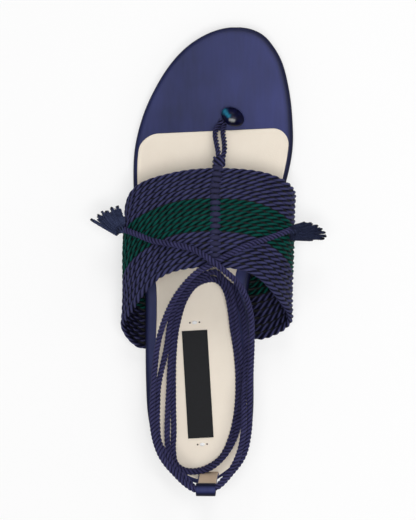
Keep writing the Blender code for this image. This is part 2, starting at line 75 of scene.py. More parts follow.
class Wire:  # a node's output that takes + - * /, in shader and geometry trees alike
    def __init__(self, tree, socket=None):
        self.tree = tree
        self.socket = socket

    def add(self, kind, settings=None, inputs=None, out=0):
        made = self.tree.nodes.new(kind)
        for name, value in (settings or {}).items():
            setattr(made, name, value)
        for name, value in (inputs or {}).items():
            feed(self.tree, made.inputs[name], value)
        return Wire(self.tree, made.outputs[out])

    def maths(self, operation, *values):
        return self.add("ShaderNodeMath", {"operation": operation}, dict(enumerate(values)))

    def vectors(self, operation, *values, out=0):
        return self.add("ShaderNodeVectorMath", {"operation": operation}, dict(enumerate(values)), out)

    def mixed(self, low, high):  # this wire picks between two colours
        return self.add("ShaderNodeMix", {"data_type": "RGBA"}, {0: self, 6: low, 7: high}, out=2)

    def between(self, low, high):  # 0 below low, 1 above high, smooth between
        return self.add("ShaderNodeMapRange", {"interpolation_type": "SMOOTHSTEP"},
                        {"Value": self, "From Min": low, "From Max": high})

    def body(self):  # places on the piece itself
        return self.add("ShaderNodeTexCoord", out="Object")

    def attribute(self, name):
        return self.add("ShaderNodeAttribute", {"attribute_name": name}, out="Fac")

    def axis(self, name):  # one number of this place
        return self.add("ShaderNodeSeparateXYZ", inputs={"Vector": self}, out=name)

    def noise(self, scale, detail):  # noise over this place
        return self.add("ShaderNodeTexNoise", inputs={"Vector": self, "Scale": scale, "Detail": detail})

    def stored(self, name, value):  # this geometry, with a value kept on it
        return self.add("GeometryNodeStoreNamedAttribute",
                        inputs={"Geometry": self, "Name": name, "Value": value})

    def spaced(self, length):  # this line, with points this far apart
        return self.add("GeometryNodeResampleCurve", {"mode": "LENGTH"}, {"Curve": self, "Length": length})

    def __add__(self, other):
        return self.maths("ADD", self, other)

    def __radd__(self, other):
        return self.maths("ADD", other, self)

    def __sub__(self, other):
        return self.maths("SUBTRACT", self, other)

    def __rsub__(self, other):
        return self.maths("SUBTRACT", other, self)

    def __mul__(self, other):
        return self.maths("MULTIPLY", self, other)

    def __rmul__(self, other):
        return self.maths("MULTIPLY", other, self)

    def __truediv__(self, other):
        return self.maths("DIVIDE", self, other)

    def __rtruediv__(self, other):
        return self.maths("DIVIDE", other, self)


def paint(red, green, blue):  # screen colour, 0 to 255, to a shader colour
    parts = []
    for value in (red, green, blue):
        value = value / 255
        parts.append(value / 12.92 if value <= 0.04045 else ((value + 0.055) / 1.055) ** 2.4)
    return (*parts, 1.0)


def newFinish(name, constants):
    made = bpy.data.materials.new(name)
    made.use_nodes = True
    shader = made.node_tree.nodes["Principled BSDF"]
    for socket, value in constants.items():
        shader.inputs[socket].default_value = value
    return made, Wire(made.node_tree), shader


def link(wire, shader, **sockets):
    for name, value in sockets.items():
        feed(wire.tree, shader.inputs[name.replace("_", " ")], value)


# finishes

cordLook = {  # dark: the crown is all in the crease colour below this, painted shade in the creases between plies; inner: painted shade on the foot's side
    "navyCord": {"name": "navy_cord_twist", "crown": (64, 65, 103), "creaseShade": (4, 4, 18),
                 "dark": 0.66, "inner": 0.86},
    "greenCord": {"name": "green_cord_twist", "crown": (10, 74, 67), "creaseShade": (0, 5, 6),
                  "dark": 0.68, "inner": 0.7},
    "laceCord": {"name": "lace_cord_twist", "crown": (63, 62, 101), "creaseShade": (10, 10, 26), "dark": 0.62},
    "ribCord": {"name": "rib_cord_twist", "crown": (50, 50, 78), "creaseShade": (16, 15, 34), "dark": 0.4},
    "toeCord": {"name": "toe_cord_twist", "crown": (64, 64, 102), "creaseShade": (2, 2, 10), "dark": 0.66},
    "tasselYarn": {"name": "tassel_yarn", "crown": (66, 74, 106), "creaseShade": (20, 24, 42), "dark": 0.4},
    # the same yarn a step darker for the medial tassel: painted shade
    "tasselShaded": {"name": "tassel_yarn_deep", "crown": (47, 53, 80), "creaseShade": (17, 20, 34), "dark": 0.4},
}
cordFibre = {
    "turns": 7.0, "slope": 900.0, "ruffle": 3.0,  # fine lines over one ply, their climb and unevenness
    "driftScale": 160.0, "fuzzScale": 2600.0, "detail": 2.0,
    "base": 0.1, "crownShare": 0.8, "driftShare": 0.5, "fibreShare": 0.05,  # of the crown's colour
    "innerFull": 0.6,  # facing the foot by this much is fully shaded
    "bump": 0.35, "depth": 0.00012, "gloss": 0.06, "rough": 0.62, "roughShare": 0.06,
}


def cordFinish(look):
    made, wire, shader = newFinish(look["name"], {"Specular IOR Level": cordFibre["gloss"]})
    crown, across, along = (wire.attribute(name) for name in ("crown", "across", "along"))
    body = wire.body()
    drift = body.noise(cordFibre["driftScale"], cordFibre["detail"])
    fuzz = body.noise(cordFibre["fuzzScale"], cordFibre["detail"])
    climb = across * (cordFibre["turns"] * fullTurn) + along * cordFibre["slope"]
    fibre = wire.maths("SINE", climb + fuzz * cordFibre["ruffle"])
    # painted highlight and shade: the crown of each ply lit, the crease between plies dark
    lit = crown.between(look["dark"], 1.0) * cordFibre["crownShare"] + cordFibre["base"]
    lit = lit + (drift - 0.5) * cordFibre["driftShare"] + fibre * cordFibre["fibreShare"]
    colour = lit.mixed(paint(*look["creaseShade"]), paint(*look["crown"]))
    if "inner" in look:  # hardly any light gets to the side that lies on the foot
        shade = wire.attribute("inner").between(0.0, cordFibre["innerFull"]) * look["inner"]
        colour = shade.mixed(colour, paint(*look["creaseShade"]))
    relief = wire.add("ShaderNodeBump", inputs={
        "Strength": cordFibre["bump"], "Distance": cordFibre["depth"], "Height": fibre + fuzz})
    link(wire, shader, Base_Color=colour, Normal=relief,
         Roughness=cordFibre["rough"] - fibre * cordFibre["roughShare"])
    return made


leatherLook = {  # painted side light: from and to this far across, in metres, and how much lighter toward the medial side it gets
    # rim: painted shade, on the footbed's rounded edge and the heel loop's front and back
    "navySatin": {"deep": (35, 40, 76), "light": (60, 65, 118), "rim": (21, 23, 44),
                  "gloss": 0.09, "rough": 0.42, "grain": 2200.0, "relief": 0.18,
                  "streak": (1.6, 0.2, 1.0), "paintedSideLight": (-0.03, 0.045, 0.42)},
    "cream": {"deep": (230, 218, 202), "light": (238, 228, 213), "gloss": 0.16, "rough": 0.5,
              "grain": 1500.0, "relief": 0.3, "streak": (1.0, 0.6, 1.0)},
    "tan": {"deep": (205, 179, 154), "light": (227, 203, 177), "gloss": 0.2, "rough": 0.66,
            "grain": 1400.0, "relief": 0.35, "streak": (1.0, 1.0, 0.4)},
    "soleEdge": {"deep": (30, 28, 40), "light": (44, 41, 56), "gloss": 0.35, "rough": 0.5,
                 "grain": 1200.0, "relief": 0.3, "streak": (0.4, 0.4, 2.0)},
}
leatherGrain = {
    "cloudScale": 28.0, "cloudSpan": (0.3, 0.7), "streakScale": 300.0, "fineScale": 2.0, "detail": 3.0,
    "base": 0.32, "cloudShare": 0.36, "streakShare": 0.46, "sideLightMiddle": 0.6,  # of the lighter tone
    "cellRelief": 0.7, "fineRelief": 0.5, "streakRelief": 0.3, "depth": 0.0002,
    "streakRough": 0.14, "cloudRough": 0.08,
}


def leatherFinish(name, look):
    made, wire, shader = newFinish(name, {"Specular IOR Level": look["gloss"]})
    body, grain, detail = wire.body(), leatherGrain, leatherGrain["detail"]
    cloud = body.noise(grain["cloudScale"], detail)
    drawn = wire.add("ShaderNodeMapping", inputs={"Vector": body, "Scale": look["streak"]})
    streak = drawn.noise(grain["streakScale"], detail)
    cell = wire.add("ShaderNodeTexVoronoi", inputs={"Vector": body, "Scale": look["grain"]}, out="Distance")
    fine = body.noise(look["grain"] * grain["fineScale"], detail)
    tone = cloud.between(*grain["cloudSpan"]) * grain["cloudShare"]
    tone = tone + (streak - 0.5) * grain["streakShare"] + grain["base"]
    if "paintedSideLight" in look:  # painted light: the satin is lighter toward the medial side
        low, high, share = look["paintedSideLight"]
        tone = tone + (body.axis("X").between(low, high) - grain["sideLightMiddle"]) * share
    colour = tone.mixed(paint(*look["deep"]), paint(*look["light"]))
    if "rim" in look:  # painted shade: the rounded edge is darker than the top, where it turns away from the light
        colour = wire.attribute("rim").mixed(colour, paint(*look["rim"]))
    height = cell * grain["cellRelief"] + fine * grain["fineRelief"] + streak * grain["streakRelief"]
    relief = wire.add("ShaderNodeBump", inputs={
        "Strength": look["relief"], "Distance": grain["depth"], "Height": height})
    rough = look["rough"] + (streak - 0.5) * grain["streakRough"] + (cloud - 0.5) * grain["cloudRough"]
    link(wire, shader, Base_Color=colour, Normal=relief, Roughness=rough)
    return made


beadLook = {
    # teal and pale: colours of painted glints
    "deep": (5, 5, 30), "dark": (10, 12, 48), "teal": (36, 112, 142), "pale": (150, 152, 152),
    "tealGlints": ((10.0, 78.1, 2.7), (11.0, 76.7, 2.0), (12.1, 75.4, 1.9)),  # painted glints, a highlight: drawing place and reach
    # painted pale glints, a highlight
    "paleGlints": ((12.6, 73.5, 1.5), (13.7, 73.3, 1.6), (14.8, 73.0, 1.3)),
    "cloudScale": 420.0, "detail": 4.0, "cloudSpan": (0.35, 0.7), "rough": 0.34, "gloss": 0.1,
}


def beadFinish():
    made, wire, shader = newFinish("bead_polish_and_painted_glints", {
        "Roughness": beadLook["rough"], "Specular IOR Level": beadLook["gloss"]})
    body = wire.body()
    cloud = body.noise(beadLook["cloudScale"], beadLook["detail"])
    flat = wire.vectors("MULTIPLY", body, (1.0, 1.0, 0.0))
    colour = cloud.between(*beadLook["cloudSpan"]).mixed(paint(*beadLook["deep"]), paint(*beadLook["dark"]))
    for tint in ("teal", "pale"):  # painted highlights, soft spots broken up a little
        most = 0.0
        for across, along, reach in beadLook[tint + "Glints"]:
            away = wire.vectors("DISTANCE", flat, placed((across, along, 0.0)), out="Value")
            near = 1 - (away + (cloud - 0.5) * (reach * mm)).between(0.0, reach * mm)
            most = wire.maths("MAXIMUM", most, near)
        colour = most.mixed(colour, paint(*beadLook[tint]))
    link(wire, shader, Base_Color=colour)
    return made


patchLook = {"deep": (14, 15, 18), "light": (27, 28, 32), "threads": 9000.0, "weaveShare": 0.25,
             "fuzzScale": 900.0, "detail": 2.0, "span": (0.2, 0.9), "bump": 0.5, "depth": 0.0001,
             "gloss": 0.3, "rough": 0.6, "roughShare": 0.2}


def patchFinish():
    made, wire, shader = newFinish("black_patch_weave", {"Specular IOR Level": patchLook["gloss"]})
    body = wire.body()
    warp, weft = (wire.maths("SINE", body.axis(name) * patchLook["threads"]) for name in "XY")
    weave = warp * weft
    fuzz = body.noise(patchLook["fuzzScale"], patchLook["detail"])
    lit = (weave * patchLook["weaveShare"] + fuzz).between(*patchLook["span"])
    relief = wire.add("ShaderNodeBump", inputs={
        "Strength": patchLook["bump"], "Distance": patchLook["depth"], "Height": weave})
    link(wire, shader, Base_Color=lit.mixed(paint(*patchLook["deep"]), paint(*patchLook["light"])),
         Normal=relief, Roughness=patchLook["rough"] + fuzz * patchLook["roughShare"])
    return made


threadLook = {
    # the needle holes' colour is painted shade
    "colours": {"white_tack_thread": (255, 255, 255), "needle_hole": (96, 84, 76),
                # near black: painted shade, for the gaps between ropes and stitches and the tassels' tips
                # and edges
                "painted_shade_cord": (6, 7, 13)},
    "fuzzScale": 3000.0, "detail": 2.0, "darkShare": 0.86, "gloss": 0.25, "rough": 0.5, "roughShare": 0.3,
}


def threadFinish(name):
    made, wire, shader = newFinish(name, {"Specular IOR Level": threadLook["gloss"]})
    fuzz = wire.body().noise(threadLook["fuzzScale"], threadLook["detail"])
    colour = threadLook["colours"][name]
    dark = [part * threadLook["darkShare"] for part in colour]
    link(wire, shader, Base_Color=fuzz.mixed(paint(*dark), paint(*colour)),
         Roughness=threadLook["rough"] + fuzz * threadLook["roughShare"])
    return made


finishes = {key: cordFinish(look) for key, look in cordLook.items()}
finishes.update({key: leatherFinish(key + "_leather", look) for key, look in leatherLook.items()})
finishes["bead"] = beadFinish()
finishes["patch"] = patchFinish()
finishes["whiteThread"] = threadFinish("white_tack_thread")
finishes["needleHole"] = threadFinish("needle_hole")
finishes["shadeCord"] = threadFinish("painted_shade_cord")
print("finishes made:", len(finishes))


# curves and paths

class Ease:  # cubic through knots; a level one never passes above or below its own rows
    def __init__(self, knots, values, level=False):
        self.knots = list(knots)
        self.values = list(values)
        steps = [b - a for a, b in zip(self.knots, self.knots[1:])]
        rises = [(b - a) / step for a, b, step in zip(self.values, self.values[1:], steps)]
        self.slopes = [rises[0]]
        for i in range(1, len(rises)):
            before, after = rises[i - 1], rises[i]
            if level:
                slope = 0.0 if before * after <= 0 else 2 * before * after / (before + after)
            else:
                slope = (before * steps[i] + after * steps[i - 1]) / (steps[i] + steps[i - 1])
            self.slopes.append(slope)
        self.slopes.append(rises[-1])

    def at(self, place):
        i = 0
        while i < len(self.knots) - 2 and place > self.knots[i + 1]:
            i += 1
        step = self.knots[i + 1] - self.knots[i]
        part = held((place - self.knots[i]) / step)
        square, cube = part * part, part ** 3
        return ((2 * cube - 3 * square + 1) * self.values[i]
                + (cube - 2 * square + part) * step * self.slopes[i]
                + (3 * square - 2 * cube) * self.values[i + 1]
                + (cube - square) * step * self.slopes[i + 1])


def smoothRoute(route, spacing):  # points about this far apart on a smooth curve through the route
    points = [Vector(point) for point in route]
    knots = [0.0]
    for before, after in zip(points, points[1:]):
        knots.append(knots[-1] + (after - before).length ** 0.5)
    curves = [Ease(knots, [point[axis] for point in points]) for axis in range(3)]
    made = []
    for start, stop in zip(knots, knots[1:]):
        between = max(round((stop - start) ** 2 / spacing), 1)
        for i in range(between):
            made.append(Vector([curve.at(start + (stop - start) * i / between) for curve in curves]))
    return made + [points[-1]]


def lineOf(points, radius):  # a line of one radius
    return [(point, radius) for point in points]


def lineObject(name, lines):  # lines are lists of (drawing point, radius in mm)
    data = bpy.data.curves.new(name, "CURVE")
    data.dimensions = "3D"
    for points in lines:
        spline = data.splines.new("POLY")
        spline.points.add(len(points) - 1)
        for knot, (point, radius) in zip(spline.points, points):
            knot.co = (*placed(point), 1.0)
            knot.radius = radius * mm
    made = bpy.data.objects.new(name, data)
    bpy.context.scene.collection.objects.link(made)
    return made


# geometry trees

def newTree(name, sockets):
    tree = bpy.data.node_groups.new(name, "GeometryNodeTree")
    tree.is_modifier = True
    tree.interface.new_socket("Geometry", in_out="INPUT", socket_type="NodeSocketGeometry")
    for socket, kind in sockets.items():
        tree.interface.new_socket(socket, in_out="INPUT", socket_type="NodeSocket" + kind)
    tree.interface.new_socket("Geometry", in_out="OUTPUT", socket_type="NodeSocketGeometry")
    source = tree.nodes.new("NodeGroupInput")
    return tree, {socket.name: Wire(tree, socket) for socket in source.outputs if socket.name}


def closeTree(tree, skin, material):
    skin = skin.add("GeometryNodeRealizeInstances", inputs={"Geometry": skin})
    skin = skin.add("GeometryNodeSetMaterial", inputs={"Geometry": skin, "Material": material})
    end = tree.nodes.new("NodeGroupOutput")
    tree.links.new(skin.socket, end.inputs["Geometry"])
    return tree


footLine = (0.0, 0.0, 0.012)  # metres; the band's inner side faces a line along Y through here


def cordTree():  # a lobed ring drawn along each line and turned as it goes: plies twisted together
    tree, given = newTree("twistedCord", {
        "Plies": "Int", "Pitch": "Float", "Step": "Float", "Ply Points": "Int", "Ply Share": "Float",
        "Material": "Material"})
    plies, share = given["Plies"], given["Ply Share"]
    line = given["Geometry"].spaced(given["Step"])
    run = line.add("GeometryNodeSplineParameter", out="Length")
    tilt = run / given["Pitch"] * fullTurn
    line = line.add("GeometryNodeSetCurveTilt", inputs={"Curve": line, "Tilt": tilt}).stored("along", run)
    ring = line.add("GeometryNodeCurvePrimitiveCircle",
                    inputs={"Resolution": plies * given["Ply Points"], "Radius": 1.0})
    turn = line.add("GeometryNodeSplineParameter", out="Factor")
    lobe = line.maths("FRACT", turn * plies) - 0.5
    angle = lobe * fullTurn / plies
    swing = line.maths("SINE", angle) * (1 - share)
    inside = line.maths("MAXIMUM", share * share - swing * swing, 0.0)
    bulge = line.maths("COSINE", angle) * (1 - share) + line.maths("SQRT", inside)
    spot = line.add("GeometryNodeInputPosition")
    pushed = line.add("ShaderNodeVectorMath", {"operation": "SCALE"}, {"Vector": spot, "Scale": bulge})
    ring = ring.stored("crown", bulge).stored("across", lobe)
    ring = ring.add("GeometryNodeSetPosition", inputs={"Geometry": ring, "Position": pushed})
    radius = line.add("GeometryNodeInputRadius")
    skin = line.add("GeometryNodeCurveToMesh", inputs={
        "Curve": line, "Profile Curve": ring, "Scale": radius, "Fill Caps": True})
    # how far each side faces the foot, for the painted shade on the band's inner side
    away = line.vectors("MULTIPLY", line.vectors("SUBTRACT", spot, footLine), (1.0, 0.0, 1.0))
    facing = line.vectors("DOT_PRODUCT", line.add("GeometryNodeInputNormal"),
                          line.vectors("NORMALIZE", away), out="Value")
    skin = skin.stored("inner", line.maths("MAXIMUM", 0.0 - facing, 0.0))
    return closeTree(tree, skin, given["Material"])


def rowTree():  # copies of one small thing, spaced along a line and turned with it
    tree, given = newTree("spacedRow", {
        "Thing": "Object", "Spacing": "Float", "Up": "Vector", "Material": "Material"})
    line = given["Geometry"].spaced(given["Spacing"])
    ahead = line.add("GeometryNodeInputTangent")
    turned = line.add("FunctionNodeAlignRotationToVector", {"axis": "Y"}, {"Vector": ahead})
    turned = line.add("FunctionNodeAlignRotationToVector", {"axis": "Z", "pivot_axis": "Y"},
                      {"Rotation": turned, "Vector": given["Up"]})
    thing = line.add("GeometryNodeObjectInfo", inputs={"Object": given["Thing"]}, out="Geometry")
    row = line.add("GeometryNodeInstanceOnPoints",
                   inputs={"Points": line, "Instance": thing, "Rotation": turned})
    return closeTree(tree, row, given["Material"])


twistedCord = cordTree()
spacedRow = rowTree()
sharpAngle = math.radians(40)


def piece(name, mesh, *materials):
    mesh.name = name
    for material in materials:
        mesh.materials.append(material)
    mesh.shade_smooth()
    made = bpy.data.objects.new(name, mesh)
    bpy.context.scene.collection.objects.link(made)
    return made


def formed(name, source, tree, values):  # a line with its tree, turned into one plain mesh
    modifier = source.modifiers.new("form", "NODES")
    modifier.node_group = tree
    for item in tree.interface.items_tree:
        if item.item_type == "SOCKET" and item.in_out == "INPUT" and item.name in values:
            modifier[item.identifier] = values[item.name]
    seen = source.evaluated_get(bpy.context.evaluated_depsgraph_get())
    mesh = bpy.data.meshes.new_from_object(seen)
    bpy.data.objects.remove(source)
    return piece(name, mesh)


def twisted(name, lines, cord, finish):
    return formed(name, lineObject(name + "_line", lines), twistedCord, {
        "Plies": cord["plies"], "Pitch": cord["pitch"] * mm, "Step": cord["step"] * mm,
        "Ply Points": cord["plyPoints"], "Ply Share": cord["plyShare"], "Material": finishes[finish]})


def settle(made, slot, *nodes):
    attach(made, "root")
    if nodes:
        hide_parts(*nodes)
    print("piece made:", made.name, len(made.data.polygons), "faces")
    return made


def leatherPiece(name, mesh, finish, slot, node):
    made = piece(name, mesh, finishes[finish])
    mesh.set_sharp_from_angle(angle=sharpAngle)
    return settle(made, slot, node)


def quarter(step):  # angles over a quarter turn, this many degrees apart
    return [math.radians(degrees) for degrees in range(0, 91, step)]


def ball(form, facets, radius):  # facets round it and down it
    around, down = facets
    return bmesh.ops.create_uvsphere(form, u_segments=around, v_segments=down, radius=radius)["verts"]


def meshFrom(form):
    mesh = bpy.data.meshes.new("form")
    form.to_mesh(mesh)
    form.free()
    return mesh


# camera and light

view = {"place": (58.0, 14.0, 1300.0), "aim": (1.0, -1.5, 20.0), "lens": 166.0, "near": 0.05}


def setCamera():
    data = bpy.data.cameras.new("photoCamera")
    data.lens = view["lens"]
    data.clip_start = view["near"]
    camera = bpy.data.objects.new("photoCamera", data)
    bpy.context.scene.collection.objects.link(camera)
    place = placed(view["place"])
    back = (place - placed(view["aim"])).normalized()
    across = Vector((0, 1, 0)).cross(back).normalized()
    upward = back.cross(across)
    turn = Matrix((across, upward, back)).transposed().to_4x4()
    camera.matrix_world = Matrix.Translation(place) @ turn
    bpy.context.scene.camera = camera


studio = {
    "ambient": 0.25,
    "boxes": (  # name, place in metres, width, power
        ("topBox", (0.15, -0.15, 1.5), 0.7, 14.5),
        ("toeBox", (0.15, 1.6, 1.9), 0.8, 12.0),
        ("rightBox", (1.3, 0.1, 0.9), 0.8, 1.2),
    ),
    "paper": (0.40, 0.58),  # floor's reflected and own share of light
    "floorReach": 3.0, "floorDrop": 0.0003, "floorRough": 0.9, "floorGloss": 0.1,
}


def setLight():
    world = bpy.data.worlds.new("studio")
    world.use_nodes = True
    world.node_tree.nodes["Background"].inputs["Color"].default_value = (1.0, 1.0, 1.0, 1.0)
    world.node_tree.nodes["Background"].inputs["Strength"].default_value = studio["ambient"]
    bpy.context.scene.world = world
    for name, place, width, power in studio["boxes"]:
        data = bpy.data.lights.new(name, "AREA")
        data.size = width
        data.energy = power
        box = bpy.data.objects.new(name, data)
        box.location = place
        box.rotation_euler = Vector(place).to_track_quat("Z", "Y").to_euler()
        bpy.context.scene.collection.objects.link(box)


def layFloor():
    form = bmesh.new()
    bmesh.ops.create_grid(form, x_segments=1, y_segments=1, size=studio["floorReach"])
    bmesh.ops.translate(form, vec=(0, 0, -studio["floorDrop"]), verts=form.verts)
    share, glow = studio["paper"]
    paper = newFinish("floor_paper", {
        "Base Color": (share, share, share, 1), "Roughness": studio["floorRough"],
        "Specular IOR Level": studio["floorGloss"],
        "Emission Color": (1, 1, 1, 1), "Emission Strength": glow})[0]
    piece("floor", meshFrom(form), paper)


setCamera()
setLight()
layFloor()
bpy.context.scene.view_settings.view_transform = "Standard"
print("camera and light set")


# ankle lace

lace = {  # the part's route, some points moved up to about a millimetre to open the gaps between turns
    "plies": 3, "pitch": 6.6, "step": 0.5, "plyPoints": 6, "plyShare": 0.57, "radius": 1.7, "spacing": 2.0,
    "route": (
        (-42.5, 14.7, 35.7), (-36.0, 12.5, 41.3), (-27.0, 9.0, 46.8), (-18.1, 7.4, 51.3), (-9.0, 5.7, 55.2),
        (0.0, 1.9, 60.0), (6.9, -3.0, 62.9), (12.2, -7.4, 60.4), (16.8, -11.8, 56.4), (20.9, -17.8, 52.0),
        (23.4, -24.0, 48.6), (24.9, -33.0, 45.2), (25.0, -43.0, 42.4), (24.5, -57.0, 39.8),
        (23.8, -74.0, 39.6), (23.6, -90.0, 42.4), (20.7, -103.7, 45.0), (14.0, -113.0, 47.0),
        (7.4, -119.7, 47.9), (1.2, -121.4, 48.0), (-4.6, -120.6, 48.0), (-8.6, -116.4, 47.8),
        (-13.4, -112.6, 46.8), (-18.6, -105.4, 44.6), (-23.6, -97.5, 41.4), (-24.9, -89.0, 38.2),
        (-25.1, -79.0, 34.8), (-24.8, -68.0, 31.5), (-22.2, -55.0, 27.8), (-20.6, -47.0, 25.8),
        (-19.4, -37.5, 24.5), (-17.6, -29.6, 24.3), (-13.4, -21.6, 24.2), (-3.8, -11.2, 24.1),
        (2.0, -8.1, 24.2), (5.4, -8.0, 24.2), (9.2, -11.4, 24.2), (13.0, -16.0, 24.2), (14.5, -22.2, 24.0),
        (15.7, -31.0, 23.0), (17.2, -43.0, 21.7), (19.6, -60.0, 20.9), (19.6, -78.0, 20.8),
        (17.4, -89.9, 20.8), (13.4, -100.5, 20.8), (7.2, -108.8, 20.9), (0.6, -113.4, 20.9),
        (-6.0, -114.8, 20.9), (-13.2, -114.1, 20.9), (-18.4, -109.6, 20.9), (-20.4, -102.4, 20.9),
        (-20.8, -92.0, 20.9), (-19.9, -72.0, 20.9), (-18.9, -54.0, 20.9), (-17.4, -38.0, 20.8),
        (-13.0, -24.6, 20.6), (-6.8, -15.4, 20.5), (0.8, -11.3, 20.5), (7.2, -13.2, 20.5),
        (10.4, -17.6, 20.5), (12.4, -25.0, 20.2), (14.2, -39.0, 18.9), (16.3, -53.0, 17.7),
        (17.1, -70.0, 17.6), (15.8, -86.0, 17.6), (12.6, -98.6, 17.6), (8.0, -107.4, 17.7),
        (1.4, -112.4, 17.7), (-6.0, -114.7, 17.7), (-12.4, -114.0, 17.7), (-16.5, -110.6, 17.7),
        (-17.8, -103.0, 17.7), (-17.5, -94.0, 17.6), (-17.8, -76.0, 17.6), (-17.5, -52.0, 17.5),
        (-15.8, -37.0, 17.2), (-11.4, -22.4, 17.0), (-5.5, -14.7, 16.9), (1.8, -12.0, 16.9),
        (9.0, -12.9, 16.9), (14.2, -16.2, 17.0), (17.1, -21.8, 17.3), (19.2, -29.0, 17.8),
        (20.6, -39.0, 19.4), (21.8, -51.0, 25.0), (21.4, -64.0, 31.6), (20.9, -74.0, 38.0),
        (21.1, -80.0, 42.4), (20.9, -90.0, 46.6), (19.3, -99.9, 49.6), (16.1, -108.0, 51.0),
        (11.8, -114.1, 51.2), (7.0, -119.4, 51.2), (1.2, -121.4, 51.2), (-4.8, -120.8, 51.2),
        (-9.8, -117.6, 51.5), (-15.2, -112.2, 51.8), (-19.9, -106.9, 51.4), (-23.4, -100.9, 50.4),
        (-26.8, -88.7, 46.0), (-26.8, -67.0, 40.8), (-23.4, -41.0, 42.4), (-14.8, -20.8, 50.0),
        (-3.0, -7.4, 57.6), (4.4, -3.5, 59.4), (11.2, 0.4, 58.6), (23.7, 7.0, 54.0), (33.1, 9.9, 48.8),
        (39.9, 12.4, 44.2), (45.0, 14.4, 39.6),
    ),
}
laceLine = smoothRoute(lace["route"], lace["spacing"])
lacePiece = twisted("ankle_lace_cord", [lineOf(laceLine, lace["radius"])], lace, "laceCord")
settle(lacePiece, "navy_cord", "ankle_lace")

# tassels

tassels = {
    "plies": 2, "pitch": 2.8, "step": 1.0, "plyPoints": 4, "plyShare": 0.6, "radius": 0.58, "spacing": 1.2,
    "locks": 9, "lockReach": (0.94, 1.0), "lockScatter": 0.12,  # strands to each tip
    "fill": 120, "fillReach": (0.66, 0.93),  # shorter strands between the tips
    "looseStart": 0.5, "looseEnd": 0.45, "bulge": (0.4, 2.4),
    "knotSpacing": 0.8, "knotEnds": 1.6, "knotSwell": 0.8,
    "tipShares": (0.0, 0.35, 0.7, 1.0), "tipLong": 1.9, "tipRadius": 0.95, "tipLift": 0.5,
    "edgeRadius": 0.62, "edgeSteps": 6,  # painted shade: the ends and both edges are dark
    "seed": 11,
    "lateral": {
        "base": ((-46.8, 12.0, 33.6), (-42.8, 17.4, 33.0)), "node": "tassel_lateral", "finish": "tasselYarn",
        "knot": ((-41.6, 14.8, 36.4), (-43.8, 14.9, 36.2), (-46.4, 13.4, 34.8)),
        "tips": (  # ends of its locks, beside each other
            (-61.2, 20.0, 25.6), (-57.4, 22.6, 25.6), (-55.4, 24.1, 26.2), (-53.0, 24.5, 27.0),
            (-50.1, 26.5, 27.6), (-46.9, 27.1, 28.6), (-45.2, 25.4, 29.6), (-43.4, 20.8, 31.6),
        ),
    },
    "medial": {
        "base": ((45.2, 9.8, 37.4), (45.8, 16.2, 38.2)), "node": "tassel_medial", "finish": "tasselShaded",
        "knot": ((43.6, 13.8, 41.0), (46.2, 13.9, 39.6), (48.6, 13.4, 37.6)),
        "tips": (
            (56.5, 9.4, 29.6), (62.8, 10.0, 28.8), (63.9, 11.2, 29.0), (63.2, 13.2, 29.2),
            (61.6, 15.0, 29.8), (59.4, 16.8, 30.6), (56.4, 18.0, 31.6), (52.4, 18.2, 33.2),
        ),
    },
}


def tasselLines(side, dice):
    low, high = (Vector(end) for end in side["base"])
    tips = [Vector(tip) for tip in side["tips"]]
    last = len(tips) - 1
    scatter = tassels["lockScatter"]
    wanted = [(i + dice.uniform(-scatter, scatter), dice.uniform(*tassels["lockReach"]))
              for i in range(last + 1) for lock in range(tassels["locks"])]
    wanted += [(dice.uniform(0, last), dice.uniform(*tassels["fillReach"]))
               for strand in range(tassels["fill"])]
    lines = []
    for place, reach in wanted:
        place = min(max(place, 0.0), last)
        before = min(int(place), last - 1)
        tip = tips[before].lerp(tips[before + 1], place - before)
        loose = Vector([dice.uniform(-1, 1) for axis in range(3)])
        start = low.lerp(high, place / last) + loose * tassels["looseStart"]
        end = start.lerp(tip, reach) + loose * tassels["looseEnd"]
        middle = start.lerp(end, 0.5) + Vector((0, 0, dice.uniform(*tassels["bulge"])))
        lines.append(lineOf(smoothRoute((start, middle, end), tassels["spacing"]), tassels["radius"]))
    knot = smoothRoute(side["knot"], tassels["knotSpacing"])
    for i, point in enumerate(knot):  # the lace's end is bound on
        swell = math.sin(math.pi * i / (len(knot) - 1))
        knot[i] = (point, tassels["knotEnds"] + tassels["knotSwell"] * swell)
    return lines + [knot]


# near-black lines over the tips and both edges: painted shade
def tipLines(side):
    low, high = (Vector(end) for end in side["base"])
    tips = [Vector(tip) for tip in side["tips"]]
    lift = Vector((0, 0, tassels["tipLift"]))
    lines = []
    for tip in tips[:-2]:
        back = ((low + high) / 2 - tip).normalized() * tassels["tipLong"]
        ends = [tip + back * share + lift for share in tassels["tipShares"]]
        lines.append(lineOf(ends, tassels["tipRadius"]))
    steps = tassels["edgeSteps"]
    for start, tip in ((low, tips[0]), (high, tips[-1])):
        lines.append(lineOf([start.lerp(tip, i / steps) for i in range(steps + 1)], tassels["edgeRadius"]))
    return lines


dice = random.Random(tassels["seed"])
for sideName in ("lateral", "medial"):
    side, name = tassels[sideName], "tassel_" + sideName
    strands = twisted(name + "_strands", tasselLines(side, dice), tassels, side["finish"])
    settle(strands, "tassel_cotton", side["node"])
    tips = twisted(name + "_tips", tipLines(side), tassels, "shadeCord")
    settle(tips, None, side["node"])
placed(lace["route"][0])
[placed(point) for point in laceLine]

# sole, whose outline and side view repeat the part's source

